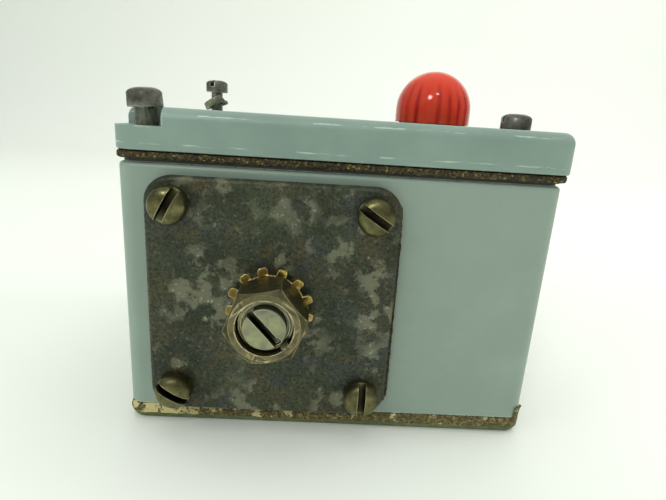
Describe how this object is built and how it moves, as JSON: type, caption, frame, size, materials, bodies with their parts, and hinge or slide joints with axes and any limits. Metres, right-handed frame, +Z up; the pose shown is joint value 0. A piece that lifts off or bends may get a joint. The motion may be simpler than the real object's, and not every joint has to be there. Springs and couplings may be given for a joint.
{
  "type": "magnetic motor starter",
  "caption": "Small boxed magnetic motor starter: cast enclosure, gasketed lid with slotted screws, red pilot lens, and an end plate with a lock-nutted slotted adjuster.",
  "frame": {"origin": "centre of the base plate's underside, the face the starter stands on", "axes": "+Z up from the base towards the lid; +Y towards the conduit hub, so the adjuster end plate faces -Y; +X to the right seen from the adjuster end, on the pilot lamp's side"},
  "size_m": [0.0857, 0.0981, 0.0764],
  "materials": {
    "painted_casting": "grey-green machine enamel, satin, small chips at the edges",
    "lid_enamel": "grey-green machine enamel, slightly bluer, worn at the edges",
    "base_steel": "dark grey-green painted steel plate with worn edges",
    "cork_gasket": "cork and rubber sheet, dark brown with lighter granules",
    "zinc_steel": "dull zinc plate",
    "patinated_plate": "dark patinated plated steel with pale worn patches",
    "plate_screw_steel": "browned plated steel, semi-bright",
    "nut_steel": "dull yellowed nickel plate",
    "toothed_bronze": "yellowed phosphor bronze",
    "blackened_steel": "blackened steel, worn bright on the edges",
    "black_rubber": "matt moulded rubber",
    "zinc_hub": "die-cast zinc, dull",
    "phenolic_board": "brown paper phenolic board",
    "black_phenolic": "moulded black phenolic",
    "laminated_iron": "stacked silicon steel laminations",
    "copper_parts": "copper strip with silver tips",
    "bobbin_nylon": "natural moulded nylon",
    "coil_tape": "varnished yellow coil tape",
    "spring_steel": "spring steel",
    "bimetal": "rolled bimetal strip",
    "heater_alloy": "oxidised resistance alloy",
    "nickel_brass": "nickel plated brass",
    "bulb_glass": "clear lamp glass",
    "red_lens": "clear red moulded acrylic with internal flutes"
  },
  "bodies": {
    "housing": {"housing": "painted_casting", "base_plate": "base_steel", "base_gasket": "cork_gasket", "base_screws": "zinc_steel", "base_clinch_nuts": "zinc_steel", "end_plate_gasket": "cork_gasket", "end_plate": "patinated_plate", "end_plate_screws": "plate_screw_steel", "adjuster_bush": "nut_steel", "flat_washer": "nut_steel", "tooth_lock_washer": "toothed_bronze", "hex_nut": "nut_steel", "hub_gasket": "black_rubber", "conduit_hub": "zinc_hub", "conduit_locknut": "zinc_hub", "mounting_panel": "phenolic_board", "panel_screws": "zinc_steel", "magnet_core": "laminated_iron", "shading_rings": "copper_parts", "coil_bobbin": "bobbin_nylon", "coil_winding": "coil_tape", "contactor_base": "black_phenolic", "contact_block": "black_phenolic", "fixed_contacts": "copper_parts", "terminal_screws": "zinc_steel", "return_springs": "spring_steel", "overload_block": "black_phenolic", "bimetal_strips": "bimetal", "heater_elements": "heater_alloy", "pivot_pin": "spring_steel", "trip_contacts": "copper_parts"},
    "lid": {"lid": "lid_enamel", "lid_gasket": "cork_gasket", "lamp_seal": "black_rubber", "lamp_holder": "nickel_brass", "lamp_nut": "zinc_steel", "lamp_socket": "black_phenolic", "lamp_terminals": "nickel_brass", "bulb_cap": "nickel_brass", "bulb_glass": "bulb_glass"},
    "front_left_screw": {"cover_screw_front_left": "blackened_steel"},
    "rear_left_screw": {"cover_screw_rear_left": "blackened_steel", "cover_lock_washer": "blackened_steel"},
    "right_screw": {"cover_screw_right": "blackened_steel"},
    "rear_right_screw": {"cover_screw_rear_right": "blackened_steel"},
    "lens": {"lamp_lens": "red_lens"},
    "contactor": {"armature": "laminated_iron", "contact_carrier": "black_phenolic", "moving_contacts": "copper_parts", "contact_springs": "spring_steel"},
    "adjuster": {"adjuster_shaft": "nut_steel", "adjuster_cam": "spring_steel"},
    "trip_lever": {"trip_lever": "spring_steel"}
  },
  "joints": [
    {"name": "lid_lift", "type": "slide", "parent": "housing", "child": "lid", "axis": [0, 0, 1], "range_m": [0, 0.045]},
    {"name": "front_left_screw_slide", "type": "slide", "parent": "lid", "child": "front_left_screw", "axis": [-0.061, 0, 0.9981], "range_m": [-0.003, 0.004]},
    {"name": "rear_left_screw_slide", "type": "slide", "parent": "lid", "child": "rear_left_screw", "axis": [0, 0, 1], "range_m": [-0.003, 0.003]},
    {"name": "right_screw_slide", "type": "slide", "parent": "lid", "child": "right_screw", "axis": [0, 0, 1], "range_m": [-0.0031, 0.006]},
    {"name": "rear_right_screw_slide", "type": "slide", "parent": "lid", "child": "rear_right_screw", "axis": [0, 0, 1], "range_m": [-0.0031, 0.006]},
    {"name": "lens_lift", "type": "slide", "parent": "lid", "child": "lens", "axis": [0, 0, 1], "range_m": [0, 0.014]},
    {"name": "armature_pull", "type": "slide", "parent": "housing", "child": "contactor", "axis": [0, 0, -1], "range_m": [0, 0.0029], "stiffness_N_per_m": 400, "springref_m": -0.005, "deforming": ["return_springs"]},
    {"name": "adjuster_turn", "type": "hinge", "parent": "housing", "child": "adjuster", "pos_m": [-0.0124, -0.046, 0.0289], "axis": [0, -1, 0], "range_deg": [-135, 135]},
    {"name": "trip_lever_swing", "type": "hinge", "parent": "housing", "child": "trip_lever", "pos_m": [-0.003, -0.029, 0.038], "axis": [0, -1, 0], "range_deg": [0, 10], "stiffness_Nm_per_rad": 0.01, "springref_deg": -17.19}
  ]
}
